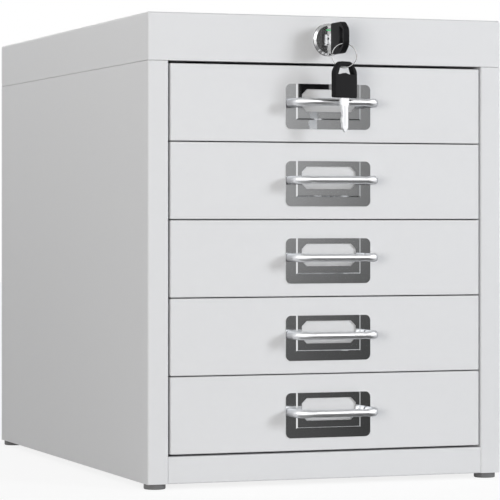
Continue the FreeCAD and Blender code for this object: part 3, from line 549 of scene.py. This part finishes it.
def makeBlade(shape, node, name, body, along):
    # along points from the tip to the head
    source = nodes[node].data
    along = Vector(along)
    off = max(source.polygons, key=lambda p: p.area).normal.normalized()
    wide = along.cross(off)
    points = [v.co for v in source.vertices]
    middle = sum(points, Vector()) / len(points)
    reach = [(p - middle).dot(along) for p in points]
    thick = [(p - middle).dot(off) for p in points]
    start, stop = max(reach) - shape["fromShoulder"], min(reach) + shape["fromTip"]
    blankSheet = bmesh.new()
    blankSheet.from_mesh(source)
    bmesh.ops.remove_doubles(blankSheet, verts=blankSheet.verts, dist=shape["weldWithin"])
    channels = bmesh.new()
    for level, side in ((max(thick), 1), (min(thick), -1)):
        line = middle + wide * shape["offCentre"] * side + off * level
        halfWidth, depth = wide * shape["channelWidth"] / 2, off * shape["channelDepth"]
        corners = [
            channels.verts.new(line + along * place + x * halfWidth + y * depth)
            for place in (start, stop) for x in (-1, 1) for y in (-1, 1)
        ]
        bmesh.ops.convex_hull(channels, input=corners)
    blank, cutter = addHelper(name + "Blank", blankSheet), addHelper(name + "Cutter", channels)
    milling = blank.modifiers.new("channels", "BOOLEAN")
    milling.operation, milling.object, milling.solver = "DIFFERENCE", cutter, "EXACT"
    bpy.context.view_layer.update()
    milled = bpy.data.meshes.new_from_object(blank.evaluated_get(bpy.context.evaluated_depsgraph_get()))
    for helper in (blank, cutter):
        bpy.data.objects.remove(helper)
    builder = bmesh.new()
    builder.from_mesh(milled)
    for face in builder.faces:
        face.material_index = 0
    finishPiece(builder, name, keyNickel, body, node, smooth=False)


makeRing(ringShape)
makeBlade(bladeShape, "key_blade", "milled_blade", "key", (0, -1, 0))
makeBlade(bladeShape, "spare_blade", "spare_milled_blade", "spare_key", (0, 0, 1))
print("ring and blades made")


# Studio: floor, world and lamps
studioLook = {
    "skyForPaint": 0.35,
    "floorShadow": 0.22,
    "floorWhite": 1.08,
    "floorPaint": (0.9, 0.9, 0.9, 1),
    "floorRoughness": 0.9,
    "floorRadius": 6,
    "floorSegments": 96,
}
lampTarget = (0, -0.1, 0.16)
lampLooks = {
    "softBoxRight": {"place": (1.6, -2.3, 0.80), "size": 0.62, "watts": 28.6, "colour": (0.945, 0.967, 1.0)},
    "softBoxLeft": {"place": (-1.5, -2.1, 0.22), "size": 0.8, "watts": 21.9, "colour": (1.0, 0.965, 0.92)},
}


def makeFloor(look):
    mesh = bpy.data.meshes.new("studioFloor")
    builder = bmesh.new()
    bmesh.ops.create_circle(
        builder, cap_ends=True, radius=look["floorRadius"], segments=look["floorSegments"]
    )
    builder.to_mesh(mesh)
    builder.free()
    floor = bpy.data.objects.new("studioFloor", mesh)
    bpy.context.scene.collection.objects.link(floor)
    material, tree, shader = startMaterial("floorPale")
    shader.inputs["Base Color"].default_value = look["floorPaint"]
    shader.inputs["Roughness"].default_value = look["floorRoughness"]
    output = next(n for n in tree.nodes if n.type == "OUTPUT_MATERIAL")
    white = addNode(tree, "ShaderNodeEmission", (0, 300))
    white.inputs["Strength"].default_value = look["floorWhite"]
    path = addNode(tree, "ShaderNodeLightPath", (-400, 300))
    seen = mathNode(tree, "MULTIPLY", (-200, 300), path.outputs["Is Camera Ray"], 1 - look["floorShadow"])
    mix = addNode(tree, "ShaderNodeMixShader", (300, 100))
    tree.links.new(seen, mix.inputs["Fac"])
    tree.links.new(shader.outputs["BSDF"], mix.inputs[1])
    tree.links.new(white.outputs["Emission"], mix.inputs[2])
    tree.links.new(mix.outputs["Shader"], output.inputs["Surface"])
    mesh.materials.append(material)
    floor.visible_glossy = False


# What bright metal mirrors: a dark camera side that lightens upwards and leftwards,
# with white boxes at both sides
mirrorLook = {
    "steps": [
        (-1.00, 0.06), (-0.60, 0.07), (-0.20, 0.065), (-0.082, 0.068), (-0.053, 0.084), (-0.037, 0.105),
        (-0.024, 0.165), (-0.008, 0.25), (0.005, 0.29), (0.021, 0.315), (0.06, 0.33), (0.10, 0.42),
        (0.25, 0.75), (0.50, 1.0), (1.0, 0.9),
    ],
    "plateX": 0.3667,
    "fallRight": 17.0,
    "dimmest": 0.45,
    "brightest": 3.0,
    "leftBox": (-0.15, -0.45),
    "rightBox": (0.60, 0.85),
    "boxLevel": 1.0,
    "boxFoot": (-0.60, -0.15),
    "upperBox": (0.06, 0.14),
    "upperEnd": (0.82, 0.46),
    "upperLevel": 2.6,
    "zenith": 0.45,
    "backLevel": 0.45,
    "backFade": (0.0, 0.25),
    "backRise": (0.3, 0.6),
}


def addFade(tree, place, source, ends, label=""):
    fade = addNode(tree, "ShaderNodeMapRange", place, interpolation_type="SMOOTHSTEP", label=label)
    tree.links.new(source, fade.inputs["Value"])
    fade.inputs["From Min"].default_value, fade.inputs["From Max"].default_value = ends
    return fade.outputs["Result"]


def addMix(tree, place, share, first, second):
    mix = addNode(tree, "ShaderNodeMix", place, data_type="FLOAT")
    for label, source in (("Factor", share), ("A", first), ("B", second)):
        feed(tree, mix.inputs[label], source)
    return mix.outputs["Result"]


def makeWorld(look, mirror):
    world = bpy.data.worlds.new("studioWorld")
    bpy.context.scene.world = world
    world.use_nodes = True
    tree = world.node_tree
    background = next(n for n in tree.nodes if n.type == "BACKGROUND")
    path = addNode(tree, "ShaderNodeLightPath", (-1200, 500))
    coords = addNode(tree, "ShaderNodeTexCoord", (-1600, 0))
    split = addNode(tree, "ShaderNodeSeparateXYZ", (-1400, 0))
    tree.links.new(coords.outputs["Generated"], split.inputs[0])
    across, height = split.outputs["X"], split.outputs["Z"]
    ramp = addNode(tree, "ShaderNodeValToRGB", (-1000, -200))
    lifted = mathNode(tree, "MULTIPLY_ADD", (-1200, -200), height, 0.5, 0.5)
    tree.links.new(lifted, ramp.inputs["Fac"])
    elements = ramp.color_ramp.elements
    elements[0].position, elements[1].position = 0, 1
    for number, (level, bright) in enumerate(mirror["steps"]):
        if 0 < number < len(mirror["steps"]) - 1:
            element = elements.new((level + 1) / 2)
        else:
            element = elements[0] if number == 0 else elements[len(elements) - 1]
        element.color = (bright, bright, bright, 1)
    fromPlates = mathNode(tree, "SUBTRACT", (-1200, 100), mirror["plateX"], across)
    slope = mathNode(tree, "MULTIPLY_ADD", (-1000, 100), fromPlates, mirror["fallRight"], 1.0)
    notDimmer = mathNode(tree, "MAXIMUM", (-850, 100), slope, mirror["dimmest"])
    share = mathNode(tree, "MINIMUM", (-700, 100), notDimmer, mirror["brightest"])
    front = mathNode(tree, "MULTIPLY", (-550, 0), ramp.outputs["Color"], share)
    front = mathNode(tree, "MINIMUM", (-400, 0), front, 1.0)
    level = front
    for side in ("leftBox", "rightBox"):
        aside = addFade(tree, (-700, 300), across, mirror[side])
        foot = addFade(tree, (-700, 550), height, mirror["boxFoot"])
        shown = mathNode(tree, "MULTIPLY", (-550, 400), aside, foot)
        level = addMix(tree, (-400, 300), shown, level, mirror["boxLevel"])
    raised = addFade(tree, (-700, 900), height, mirror["backRise"])
    behind = mathNode(tree, "MULTIPLY", (-600, 900), split.outputs["Y"], raised)
    for label, source, ends, other in (
        ("upperBox", height, mirror["upperBox"], mirror["upperLevel"]),
        ("zenith", height, (mirror["upperEnd"][1], mirror["upperEnd"][0]), mirror["zenith"]),
        ("back", behind, mirror["backFade"], mirror["backLevel"]),
    ):
        fade = addFade(tree, (-500, 700), source, ends, label)
        level = addMix(tree, (-300, 500), fade, level, other)
    # diffuse rays see an even pale sky, glossy rays the studio, camera rays white
    bySurface = addMix(tree, (-200, 100), path.outputs["Is Glossy Ray"], look["skyForPaint"], level)
    seen = mathNode(
        tree, "MAXIMUM", (-200, 400), path.outputs["Is Camera Ray"], path.outputs["Is Transmission Ray"]
    )
    byCamera = addMix(tree, (0, 100), seen, bySurface, 1.0)
    background.inputs["Color"].default_value = (1, 1, 1, 1)
    tree.links.new(byCamera, background.inputs["Strength"])


def addLamp(name, look):
    lampData = bpy.data.lights.new(name, "AREA")
    lampData.shape = "RECTANGLE"
    lampData.size = lampData.size_y = look["size"]
    lampData.energy = look["watts"]
    lampData.color = look["colour"]
    lamp = bpy.data.objects.new(name, lampData)
    lamp.location = look["place"]
    aim = Vector(lampTarget) - Vector(look["place"])
    lamp.rotation_euler = aim.to_track_quat("-Z", "Y").to_euler()
    lamp.visible_glossy = False
    bpy.context.scene.collection.objects.link(lamp)


makeFloor(studioLook)
makeWorld(studioLook, mirrorLook)
for name, look in lampLooks.items():
    addLamp(name, look)
print("studio lit")
